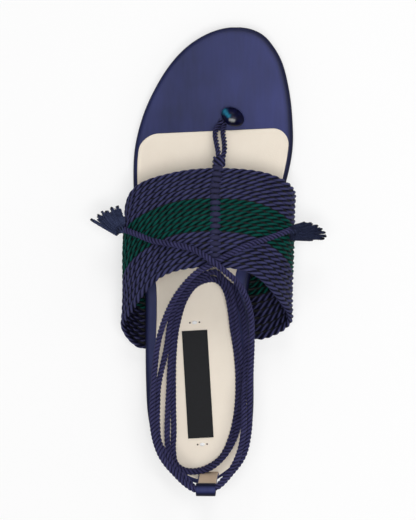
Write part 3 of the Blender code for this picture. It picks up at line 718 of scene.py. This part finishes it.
sole = {
    "length": 245.5, "toeAlong": 123.4, "footbedThick": 6.0, "footbedRound": 2.0, "footbedUnder": 0.5,
    "outsoleInset": 0.8, "outsoleBevel": 0.8, "outsoleLip": 0.3,
    "seatHeight": 2.4, "seatDepth": 8.5, "seatGroove": 0.4, "seatPast": 0.6, "seatRunOut": 2.0,
    "gap": 0.3, "tipTrim": 0.1, "steps": 150,
    "coarse": 30, "fine": 15,  # degrees between the rings round a small edge and a large one
    "rimSides": (-10.0, 30.0),  # across; the rim's shade goes over from lateral to medial between them
    "rimFade": (120, 450),  # degrees round the edge to lose it, lateral and medial
    "rimRings": ((0.9, (0.0, 0.35)), (2.4, (0.0, 0.0))),  # past the edge, shade lateral and medial
    "rows": (  # station behind the toe tip, lateral edge, medial edge
        (0.0, 15.5, 15.5), (0.9, 7.8, 23.1), (3.9, -0.6, 29.8), (9.9, -10.2, 35.5), (17.9, -18.3, 40.1),
        (29.9, -26.5, 43.5), (47.9, -34.9, 45.9), (65.9, -39.2, 46.0), (83.9, -39.8, 42.3),
        (101.9, -38.6, 36.0), (117.9, -36.5, 28.5), (139.9, -33.5, 22.5), (165.0, -33.1, 24.6),
        (189.9, -32.8, 25.2), (207.9, -31.8, 24.9), (223.9, -28.0, 22.6), (233.9, -22.5, 17.0),
        (240.9, -14.5, 9.0), (244.7, -7.0, 1.8), (245.5, -2.5, -2.5),
    ),
    "sideRows": (  # station, height of the outsole's underside, height of its top
        (0.0, 4.5, 8.3), (25.0, 2.0, 6.0), (52.0, 0.0, 4.2), (100.0, 0.0, 4.2), (118.0, 1.2, 5.4),
        (140.0, 2.8, 7.0), (165.0, 3.2, 7.7), (174.0, 3.0, 8.0), (178.0, 0.0, 8.0), (245.5, 0.0, 8.2),
    ),
    "rimRows": (  # station, navy rim left bare beside the sock, lateral and medial
        (50.0, 2.2, 2.2), (85.0, 2.4, 2.4), (118.0, 4.4, 4.4), (133.0, 6.4, 8.0), (155.0, 6.2, 8.0),
        (175.0, 5.5, 5.5), (205.0, 3.2, 3.2), (232.0, 2.7, 1.6), (241.0, 2.6, 1.6), (245.5, 2.6, 2.6),
    ),
}


def turnAt(station):  # the outline's ends are round, so its rows run on an angle
    return math.acos(1 - 2 * held(station / sole["length"]))


def column(rows, index, level=True, knot=lambda value: value):
    return Ease([knot(row[0]) for row in rows], [row[index] for row in rows], level)


lateralEdge = column(sole["rows"], 1, False, turnAt)
medialEdge = column(sole["rows"], 2, False, turnAt)
underside = column(sole["sideRows"], 1)
outsoleTop = column(sole["sideRows"], 2)
lateralRim = column(sole["rimRows"], 1)
medialRim = column(sole["rimRows"], 2)


def stationOf(along):
    return sole["toeAlong"] - along


def outsoleUnder(along):
    return underside.at(stationOf(along))


def outsoleOver(along):
    return outsoleTop.at(stationOf(along))


def footbedBase(along):
    return outsoleOver(along) + sole["gap"]


def footbedTop(along):
    return footbedBase(along) + sole["footbedThick"]


def soleStations(first=sole["tipTrim"], last=sole["length"] - sole["tipTrim"], steps=sole["steps"]):
    start, stop = turnAt(first), turnAt(last)
    turns = [start + (stop - start) * i / steps for i in range(steps + 1)]
    return [(1 - math.cos(turn)) / 2 * sole["length"] for turn in turns]


def movedIn(ring, depths):  # each point moved inward by its own depth
    moved = []
    for i, point in enumerate(ring):
        along = ring[(i + 1) % len(ring)] - ring[i - 1]
        moved.append(point + Vector((-along.y, along.x)).normalized() * depths[i])
    return moved


def soleRing(stations, inset, medialInset=None):  # from toe to heel along the lateral edge, and back
    lateral, medial = ([Vector((edge.at(turnAt(s)), sole["toeAlong"] - s)) for s in stations]
                       for edge in (lateralEdge, medialEdge))
    depths = [inset(s) for s in stations] + [(medialInset or inset)(s) for s in stations[::-1]]
    return movedIn(lateral + medial[::-1], depths)


def lifted(ring, height):  # height is a function of the place along the shoe
    return [Vector((point.x, point.y, height(point.y))) for point in ring]


def ladderMesh(rings, rimShades=()):  # rings lie one over another, closed by rungs at both ends
    form = bmesh.new()
    rim = form.verts.layers.float.new("rim")
    levels = [[form.verts.new(placed(point)) for point in ring] for ring in rings]
    # painted shade on the rim, each ring's share lateral and medial
    first, last = sole["rimSides"]
    for ring, points, (lateral, medial) in zip(levels, rings, rimShades):
        for vertex, point in zip(ring, points):
            vertex[rim] = lateral + (medial - lateral) * held((point.x - first) / (last - first))
    count = len(rings[0])
    for low, high in zip(levels, levels[1:]):
        for i in range(count):
            j = (i + 1) % count
            form.faces.new((low[i], low[j], high[j], high[i]))
    for ring in (levels[0], levels[-1]):
        for i in range(count // 2 - 1):
            form.faces.new((ring[i], ring[i + 1], ring[count - 2 - i], ring[count - 1 - i]))
    bmesh.ops.recalc_face_normals(form, faces=form.faces)
    return meshFrom(form)


# cord band

band = {
    "ropes": 18, "stripe": 6, "plies": 3, "pitch": -13.5, "step": 0.8, "plyPoints": 7, "plyShare": 0.5,
    "snug": 1.12,  # ropes press on each other by this much
    "seatRadius": 1.05, "seatRun": (6.5, 12.0), "endRun": 1.5, "ropeSteps": 130,
    "probe": 0.3,  # a path's direction is taken this far either side
    "seed": 5, "phase": 2.4,  # ropes start this far apart, so their twists don't line up
    "rows": (  # place, point on the front edge, point on the back edge, bow between them outward and ahead
        ("lateral slope low", (-42.6, 25.0, 19.0), (-44.5, -38.6, 20.0), 1.5, 0.0),
        ("lateral shoulder", (-38.6, 35.4, 29.0), (-37.6, -27.2, 34.5), -3.9, 0.0),
        ("lateral slope", (-18.3, 44.4, 37.0), (-19.4, -8.7, 51.0), 0.0, 1.6),
        ("crest", (8.2, 47.0, 39.5), (8.9, -4.8, 56.5), 0.0, 1.2),
        ("medial slope", (28.7, 45.4, 37.5), (25.2, -8.2, 53.0), 0.0, 1.2),
        ("medial shoulder", (43.4, 39.6, 30.5), (38.6, -21.7, 39.5), 2.8, 0.0),
        ("medial slope low", (46.4, 33.6, 19.0), (45.0, -34.5, 21.0), -1.4, 0.0),
    ),
    "tucks": {"lateral": (14.0, -50.0), "medial": (26.0, -45.0)},  # front and back end along the sole
    "tuckDepth": 7.0, "tuckClear": 1.6,
}
# a near-black cord along each join of the band: painted shade in the gaps
shadeCord = {"plies": 1, "pitch": 50.0, "step": 2.0, "plyPoints": 8, "plyShare": 1.0, "width": 0.3, "steps": 90}


def archPoints(across):  # one path from the lateral to the medial side; across is 0 in front, 1 behind
    mid = 4 * across * (1 - across)

    def tuck(side, inward):
        front, back = band["tucks"][side]
        along = front + (back - front) * across
        outward, edge = (-1, lateralEdge) if side == "lateral" else (1, medialEdge)
        reach = edge.at(turnAt(stationOf(along)))
        return Vector((reach - outward * inward, along, footbedBase(along) + sole["seatHeight"] / 2))

    points = [tuck("lateral", band["tuckDepth"]), tuck("lateral", -band["tuckClear"])]
    for name, front, back, bowOut, bowAhead in band["rows"]:
        points.append(Vector(front).lerp(Vector(back), across) + Vector((bowOut * mid, bowAhead * mid, 0)))
    return points + [tuck("medial", -band["tuckClear"]), tuck("medial", band["tuckDepth"])]


middleArch = archPoints(0.5)
bandKnots = [0.0]
for before, after in zip(middleArch, middleArch[1:]):
    bandKnots.append(bandKnots[-1] + (after - before).length)
bandRun = bandKnots[-1]
crestRun = bandKnots[2 + [row[0] for row in band["rows"]].index("crest")]  # past the two tucked points


def arch(across):
    points = archPoints(across)
    curves = [Ease(bandKnots, [point[axis] for point in points]) for axis in range(3)]
    return lambda run: Vector([curve.at(run) for curve in curves])


def headingOf(path, run):
    return path(run + band["probe"]) - path(run - band["probe"])


def ropeSpace(rope):  # a rope's path, and the room that it has at a place along it
    path, front, back = (arch((rope + share) / band["ropes"]) for share in (0.5, 0.0, 1.0))
    return path, lambda run: headingOf(path, run).normalized().cross(front(run) - back(run)).length


def ropeLine(rope, dice):
    path, room = ropeSpace(rope)
    first, last = band["endRun"] + dice.uniform(0, band["phase"]), bandRun - band["endRun"]
    low, high = band["seatRun"]
    line = []
    for i in range(band["ropeSteps"] + 1):
        run = first + (last - first) * i / band["ropeSteps"]
        free = held((min(run, bandRun - run) - low) / (high - low))
        radius = band["seatRadius"] + (room(run) / 2 * band["snug"] - band["seatRadius"]) * free
        line.append((path(run), radius))
    return line


def shadeCordLine(boundary):  # a near-black cord between two ropes, painted shade, closes the gaps of their twist
    path, room = ropeSpace(boundary - 0.5)
    runs = [band["endRun"] + (bandRun - 2 * band["endRun"]) * i / shadeCord["steps"]
            for i in range(shadeCord["steps"] + 1)]
    return [(path(run), room(run) * shadeCord["width"]) for run in runs]


dice = random.Random(band["seed"])
stripes = (("front", "navyCord", "navy_cord"), ("middle", "greenCord", None),
           ("back", "navyCord", "navy_cord"))
for i, (stripeName, finish, slot) in enumerate(stripes):
    ropes = range(i * band["stripe"], (i + 1) * band["stripe"])
    made = twisted("band_ropes_" + stripeName, [ropeLine(rope, dice) for rope in ropes], band, finish)
    settle(made, slot, "cord_band")
gapLines = [shadeCordLine(boundary) for boundary in range(1, band["ropes"])]
settle(twisted("band_sewing", gapLines, shadeCord, "shadeCord"), None, "cord_band")

# raised lacing along the band's middle

rib = {
    "plies": 1, "pitch": 60.0, "step": 0.5, "plyPoints": 14, "plyShare": 1.0, "radius": 1.42,
    "spacing": 3.2, "width": 4.0, "height": 1.1, "start": 0.01, "end": 0.9, "base": 0.4, "steps": 40,
    "shift": (-1.2, -2.5), "shiftRate": 4,  # beside the crest, in front and behind
    "beside": 0.01,  # share of the band's depth either side that gives its slope
    "coreRadius": 1.3, "coreHeight": 0.4,
    "stitchSteps": 12, "stitchEnds": 0.72, "stitchSwell": 0.28, "up": (0.0, 0.3, 1.0),
}


def ribLine(height):
    front, behind = rib["shift"]
    line = []
    for i in range(rib["steps"] + 1):
        run = crestRun + front + (behind - front) * min(rib["shiftRate"] * i / rib["steps"], 1.0)
        across = rib["start"] + (rib["end"] - rib["start"]) * i / rib["steps"]
        path = arch(across)
        beside = arch(max(across - rib["beside"], 0.0))(run) - arch(min(across + rib["beside"], 1.0))(run)
        line.append(path(run) + headingOf(path, run).cross(beside).normalized() * height)
    return line


def lacingStitch():  # a short arc of smooth cord over the rib
    line = []
    for i in range(rib["stitchSteps"] + 1):
        turn = math.pi * i / rib["stitchSteps"]
        spot = Vector((-rib["width"] / 2 * math.cos(turn), 0, rib["height"] * math.sin(turn)))
        radius = rib["radius"] * (rib["stitchEnds"] + rib["stitchSwell"] * math.sin(turn))
        line.append((spot - drawingShift, radius))  # about the origin, where the row's copies start
    return twisted("lacing_stitch", [line], rib, "ribCord")


stitch = lacingStitch()
# the core shows near black between the stitches: painted shade
core = lineOf(ribLine(rib["coreHeight"]), rib["coreRadius"])
settle(twisted("band_rib_core", [core], rib, "shadeCord"), "navy_cord", "cord_band")
ribPath = lineObject("rib_line", [lineOf(ribLine(rib["base"]), 1.0)])
row = formed("band_rib_lacing", ribPath, spacedRow, {
    "Thing": stitch, "Spacing": rib["spacing"] * mm, "Up": rib["up"], "Material": finishes["ribCord"]})
bpy.data.objects.remove(stitch)
settle(row, "navy_cord", "cord_band")

# toe cord, knot and bead

toe = {
    "plies": 3, "pitch": 9.0, "step": 0.35, "plyPoints": 6, "plyShare": 0.47, "radius": 1.5, "spacing": 1.0,
    "strands": (  # beside the part's, and on to the bead
        ((8.2, 73.6, 12.2), (6.6, 71.0, 12.8), (4.9, 66.5, 19.0), (5.8, 61.0, 26.0), (7.0, 55.5, 32.0),
         (7.3, 50.5, 36.6)),
        ((9.6, 73.2, 12.2), (9.2, 70.6, 12.8), (9.0, 66.5, 19.0), (10.0, 61.0, 26.0), (10.1, 55.5, 32.0),
         (8.6, 50.5, 36.6)),
    ),
    "knotPlace": (7.5, 49.9, 37.0), "knotTurns": 2.4, "knotReach": (2.1, 1.6), "knotLong": 4.2,
    "knotAhead": (-0.05, -1.0, 0.28), "knotSteps": 60,
    "beadSize": (13.0, 9.4, 8.6), "beadPlace": (14.0, 75.2), "beadTurn": -30.0,
    "beadFacets": (56, 32), "beadFoot": 0.42,  # its flat foot is this share of its height below its middle
}


def knotLine():
    middle = Vector(toe["knotPlace"])
    ahead = Vector(toe["knotAhead"]).normalized()
    beside = ahead.cross(Vector((0, 0, 1))).normalized()
    upward = beside.cross(ahead)
    wide, tall = toe["knotReach"]
    line = []
    for i in range(toe["knotSteps"] + 1):
        turn = fullTurn * toe["knotTurns"] * i / toe["knotSteps"]
        run = toe["knotLong"] * (i / toe["knotSteps"] - 0.5)
        line.append(middle + ahead * run + beside * wide * math.cos(turn) + upward * tall * math.sin(turn))
    return line


toeLines = [smoothRoute(strand, toe["spacing"]) for strand in toe["strands"]] + [knotLine()]
toeCord = twisted("toe_cord_strands", [lineOf(line, toe["radius"]) for line in toeLines], toe, "toeCord")
settle(toeCord, "navy_cord", "toe_cord")


def beadMesh():
    across, along = toe["beadPlace"]
    size = Vector(toe["beadSize"])
    form = bmesh.new()
    ball(form, toe["beadFacets"], 0.5)
    for vertex in form.verts:
        vertex.co.z = max(vertex.co.z, -toe["beadFoot"])
    bmesh.ops.scale(form, vec=size, verts=form.verts)
    bmesh.ops.rotate(form, matrix=Matrix.Rotation(math.radians(toe["beadTurn"]), 3, "Z"), verts=form.verts)
    height = footbedTop(along) + sole["gap"] + size.z * toe["beadFoot"]
    for vertex in form.verts:
        vertex.co = placed(vertex.co + Vector((across, along, height)))
    return meshFrom(form)


settle(piece("toe_bead_polished", beadMesh(), finishes["bead"]), "bead_gloss", "toe_bead")


# footbed and outsole

def seatInset(side):  # deep along the band's end on this side, a shallow groove elsewhere
    front, back = band["tucks"][side]

    def inset(station):
        along = sole["toeAlong"] - station
        past = max(along - front - sole["seatPast"], back - sole["seatPast"] - along, 0.0)
        share = 1 - min(past / sole["seatRunOut"], 1.0)
        smooth = share * share * (3 - 2 * share)
        return sole["seatGroove"] + (sole["seatDepth"] - sole["seatGroove"]) * smooth

    return inset


def seatRoof(along):
    return footbedBase(along) + sole["seatHeight"]


def footbedMesh():
    stations = soleStations()
    seat = soleRing(stations, seatInset("lateral"), seatInset("medial"))
    rings = [lifted(seat, footbedBase), lifted(seat, seatRoof)]
    low, edge = sole["footbedUnder"], sole["footbedRound"]
    for turn in quarter(sole["coarse"]):  # lower edge
        ring = soleRing(stations, lambda s: low * (1 - math.sin(turn)))
        rings.append(lifted(ring, lambda along: seatRoof(along) + low * (1 - math.cos(turn))))
    shades = [(1.0, 1.0)] * len(rings)  # of the painted shade on the rim, lateral and medial
    for turn in quarter(sole["fine"]):  # upper edge
        ring = soleRing(stations, lambda s: edge * (1 - math.cos(turn)))
        rings.append(lifted(ring, lambda along: footbedTop(along) - edge * (1 - math.sin(turn))))
        shades.append([1.0 - math.degrees(turn) / fade for fade in sole["rimFade"]])
    for past, shade in sole["rimRings"]:
        rings.append(lifted(soleRing(stations, lambda s: edge + past), footbedTop))
        shades.append(shade)
    return ladderMesh(rings, shades)


def outsoleMesh():
    stations = soleStations()
    bevel, inset, lip = sole["outsoleBevel"], sole["outsoleInset"], sole["outsoleLip"]
    rings = []
    for turn in quarter(sole["coarse"]):
        ring = soleRing(stations, lambda s: inset + bevel * (1 - math.sin(turn)))
        rings.append(lifted(ring, lambda along: outsoleUnder(along) + bevel * (1 - math.cos(turn))))
    rings.append(lifted(soleRing(stations, lambda s: inset), lambda along: outsoleOver(along) - lip))
    rings.append(lifted(soleRing(stations, lambda s: inset + lip), outsoleOver))
    return ladderMesh(rings)


leatherPiece("footbed_leather", footbedMesh(), "navySatin", "navy_leather", "footbed")
leatherPiece("outsole_leather", outsoleMesh(), "soleEdge", "sole_leather", "outsole")

# sock lining

sock = {"front": 55.8, "corner": 9.0, "cornerStep": 5, "slant": 0.043, "slantFade": 30.0, "thick": 0.9,
        "round": 0.45, "steps": 120, "lead": 1.0, "trim": 0.4,
        "lineInset": 1.7, "lineWide": 0.35, "lineDeep": 0.1}


def sockBase(along):
    return footbedTop(along) + sole["gap"]


def sockTop(along):
    return sockBase(along) + sock["thick"]


def sockRing():
    front, corner, length = sock["front"], sock["corner"], sole["length"]
    rounds = [front + corner * (1 - math.cos(turn)) for turn in quarter(sock["cornerStep"])[:-1]]
    stations = rounds + soleStations(front + corner, length - sock["trim"], sock["steps"])
    ring = soleRing([front - sock["lead"]] + stations, lateralRim.at, medialRim.at)[1:-1]
    shaped = []
    for i, point in enumerate(ring):
        station = stations[min(i, len(ring) - 1 - i)]
        back = max(station - front, 0.0)
        pull = corner - math.sqrt(corner ** 2 - max(corner - back, 0.0) ** 2)
        across = point.x + (pull if i < len(ring) // 2 else -pull)
        fade = max(1 - back / sock["slantFade"], 0.0)
        along = sole["toeAlong"] - station if station < length / 2 else point.y
        shaped.append(Vector((across, along + sock["slant"] * across * fade)))
    return shaped


def sockMesh():
    outer = sockRing()
    rings = [lifted(outer, sockBase)]
    rows = [(sock["round"] * (1 - math.cos(turn)), sock["round"] * (1 - math.sin(turn)))
            for turn in quarter(sole["coarse"])]
    for step, sink in ((0.0, 0.0), (1.0, 1.0), (2.0, 0.0)):  # pressed border line
        rows.append((sock["lineInset"] + sock["lineWide"] * step, sock["lineDeep"] * sink))
    for depth, drop in rows:
        inner = movedIn(outer, [depth] * len(outer))
        rings.append(lifted(inner, lambda along: sockTop(along) - drop))
    return ladderMesh(rings)


leatherPiece("sock_cream_leather", sockMesh(), "cream", "cream_leather", "sock_lining")

# label patch and its tack stitches

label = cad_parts["label_patch"]
label.material_slots[0].material = finishes["patch"]
tack = {"ends": ((-6.4, -35.1), (-2.2, -100.5)), "turn": 3.4, "long": 5.1,
        "hole": 0.5, "holeFlat": 0.12, "holeLift": 0.02, "holeFacets": (12, 6),
        "thread": 0.28, "radius": 0.95, "threadFlat": 0.6, "threadLift": 0.3, "threadFacets": (16, 10)}


def tackMeshes():
    turn = Matrix.Rotation(math.radians(tack["turn"]), 3, "Z")
    radius = tack["radius"]
    thread, holes = bmesh.new(), bmesh.new()
    for across, along in tack["ends"]:
        middle = Vector((across, along, sockTop(along)))
        for end in (-0.5, 0.5):
            spot = middle + turn @ Vector((tack["long"] * end, 0, tack["holeLift"]))
            # a dark flat disc at each end stands for a needle hole: painted shade
            made = ball(holes, tack["holeFacets"], tack["hole"])
            bmesh.ops.scale(holes, vec=(1, 1, tack["holeFlat"]), verts=made)
            bmesh.ops.translate(holes, vec=spot, verts=made)
        made = ball(thread, tack["threadFacets"], 1.0)
        size = (tack["long"] * tack["thread"], radius, radius * tack["threadFlat"])
        bmesh.ops.scale(thread, vec=size, verts=made)
        bmesh.ops.rotate(thread, matrix=turn, verts=made)
        bmesh.ops.translate(thread, vec=middle + Vector((0, 0, radius * tack["threadLift"])), verts=made)
    for form in (thread, holes):
        for vertex in form.verts:
            vertex.co = placed(vertex.co)
    return meshFrom(thread), meshFrom(holes)


threadMesh, holeMesh = tackMeshes()
settle(piece("label_tack_thread", threadMesh, finishes["whiteThread"]), None)
settle(piece("label_tack_holes", holeMesh, finishes["needleHole"]), None)

# heel stay

stay = {
    "width": 11.0, "waist": 10.2, "thick": 1.6, "lining": 0.6, "coverGap": 0.05, "place": 1.2,
    "foot": -115.2, "lean": 5.15, "leanCurve": 1.3, "top": 45.2, "steps": 16,
    "hole": (4.7, 6.8), "wall": 1.0, "corner": 2.84, "cornerSteps": 6,
    "edge": 0.3, "edgeShare": 0.35,  # a strap's edges are cut off by this, or less on a thin one
    "border": 0.4, "aside": -0.2,  # the lining leaves more of the cover bare on the lateral side
    "lit": (-121.7, -120.1),  # painted shade: the loop is dark behind and ahead of these lines
}


def strapMesh(path, halfWidth, thick, closed=False, aside=0.0):  # along a path seen from the side
    form = bmesh.new()
    rim = form.verts.layers.float.new("rim")
    count = len(path)
    edge = min(thick * stay["edgeShare"], stay["edge"])
    behind, front = stay["lit"]
    rings = []
    for i, (along, height) in enumerate(path):
        before = path[i - 1] if closed or i > 0 else path[i]
        after = path[(i + 1) % count] if closed or i < count - 1 else path[i]
        ahead = Vector((0, after[0] - before[0], after[1] - before[1])).normalized()
        out = Vector((0, -ahead.z, ahead.y))
        wide = halfWidth(i / (count - 1))
        # painted shade on the closed loop's front and back
        shade = held(max(along - front, behind - along)) if closed else 0.0
        ring = []
        for side, level in ((-1, -1), (1, -1), (1, 1), (-1, 1)):
            for first in (0, 1):  # two points cut the corner
                flip = first if side * level < 0 else 1 - first
                across = side * (wide - (edge if flip == 0 else 0))
                deep = level * (thick / 2 - (edge if flip == 1 else 0))
                point = Vector((stay["place"] - aside + across, along, height)) + out * deep
                ring.append(form.verts.new(placed(point)))
                ring[-1][rim] = shade
        rings.append(ring)
    pairs = list(zip(rings, rings[1:])) + ([(rings[-1], rings[0])] if closed else [])
    for ring, after in pairs:
        for i in range(len(ring)):
            j = (i + 1) % len(ring)
            form.faces.new((ring[i], ring[j], after[j], after[i]))
    if not closed:
        form.faces.new(rings[0])
        form.faces.new(rings[-1])
    bmesh.ops.recalc_face_normals(form, faces=form.faces)
    return meshFrom(form)


def uprightPaths():  # the lining's and the cover's middles, from the footbed up
    foot = sockTop(stay["foot"]) + sole["gap"]
    inner, outer = [], []
    for i in range(stay["steps"] + 1):
        share = i / stay["steps"]
        along = stay["foot"] - stay["lean"] * share ** stay["leanCurve"]
        height = foot + (stay["top"] - foot) * share
        inner.append((along - stay["lining"] / 2, height))
        outer.append((along - (stay["thick"] + stay["lining"]) / 2, height))
    return inner, outer


def loopPath():
    wide, tall = stay["hole"]
    corner, wall, steps = stay["corner"], stay["wall"], stay["cornerSteps"]
    middle = stay["foot"] - stay["lean"] - stay["thick"] / 2
    centreUp = stay["top"] + wall + tall / 2
    half = Vector(((wide + wall) / 2 - corner, (tall + wall) / 2 - corner))
    loop = []
    for quarter, (x, y) in enumerate(((1, 1), (-1, 1), (-1, -1), (1, -1))):
        for i in range(steps + 1):
            turn = math.radians(90 * quarter + 90 / steps * i)
            loop.append((middle + x * half.x + corner * math.cos(turn),
                         centreUp + y * half.y + corner * math.sin(turn)))
    return loop


def stayWidth(share):  # half of it, from foot to top
    return (stay["waist"] + (stay["width"] - stay["waist"]) * (2 * share - 1) ** 2) / 2


innerPath, outerPath = uprightPaths()
liningMesh = strapMesh(innerPath, lambda share: stayWidth(share) - stay["border"], stay["lining"],
                       aside=stay["aside"])
coverMesh = strapMesh(outerPath, stayWidth, stay["thick"] - stay["lining"] - stay["coverGap"])
loopMesh = strapMesh(loopPath(), lambda share: stay["waist"] / 2, stay["wall"], closed=True)
leatherPiece("heel_stay_lining", liningMesh, "tan", None, "heel_stay")
leatherPiece("heel_stay_cover", coverMesh, "navySatin", "navy_leather", "heel_stay")
leatherPiece("heel_stay_loop", loopMesh, "navySatin", "navy_leather", "heel_stay")
